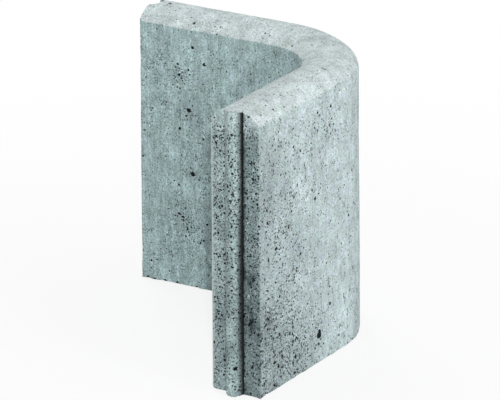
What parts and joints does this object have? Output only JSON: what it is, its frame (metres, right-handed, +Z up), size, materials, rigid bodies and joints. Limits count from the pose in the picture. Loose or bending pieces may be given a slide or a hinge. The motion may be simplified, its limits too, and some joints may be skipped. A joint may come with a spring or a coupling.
{
  "type": "concrete lawn edging corner stone",
  "caption": "L-shaped upright edging stone with a rounded bend and an arched crown, tongued at one end and grooved at the other to join straight edging stones round a corner.",
  "frame": {"origin": "middle of the overall box in plan, on the flat face that the stone stands on", "axes": "+Z up; the grooved leg lies along the +Y side with its grooved end facing -X, and the tongued leg lies along the +X side with its tongued end facing -Y"},
  "size_m": [0.24, 0.248, 0.25],
  "materials": {
    "cast_concrete": "pale grey-green precast concrete, stripped from a steel mould, with fine upright drag marks and small open pores"
  },
  "bodies": {
    "root": {"corner_stone": "cast_concrete"}
  },
  "joints": []
}
